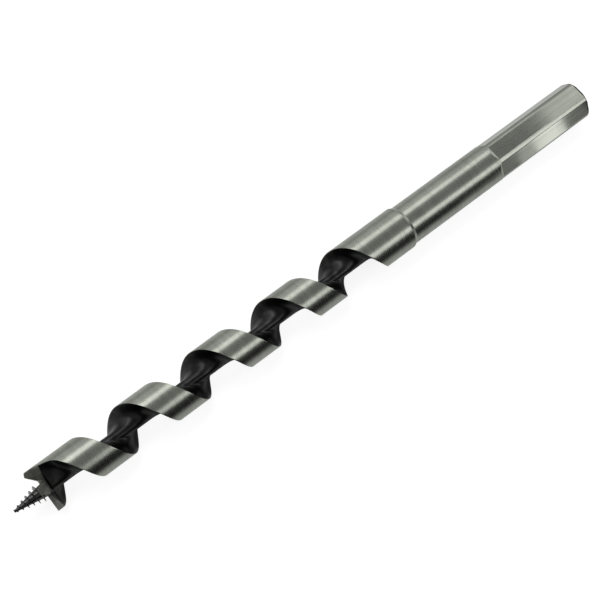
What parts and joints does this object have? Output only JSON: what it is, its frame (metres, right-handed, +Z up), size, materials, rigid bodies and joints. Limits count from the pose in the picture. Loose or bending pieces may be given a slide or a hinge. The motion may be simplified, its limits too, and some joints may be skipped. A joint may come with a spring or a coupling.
{
  "type": "combination auger bit",
  "caption": "Wood auger bit with a threaded lead screw, cutting lip and scribing spur, one helical flight on a solid core, a round shank and a hexagonal drive end.",
  "frame": {"origin": "middle of the flat end of the shank, on the bit's axis", "axes": "+X along the axis out of the shank's end, so the point is at -X; +Z up with the bit lying on a table"},
  "size_m": [0.2, 0.013, 0.013],
  "materials": {
    "black_oxide": "satin black oxide on hardened steel",
    "ground_head": "grey ground steel",
    "bright_steel": "bright round-ground steel"
  },
  "bodies": {
    "root": {"lead_screw": "black_oxide", "screw_boss": "ground_head", "cutting_lip": "ground_head", "scribing_spur": "ground_head", "twist": "black_oxide", "shank_collar": "bright_steel", "round_shank": "bright_steel", "hex_drive": "bright_steel"}
  },
  "joints": []
}
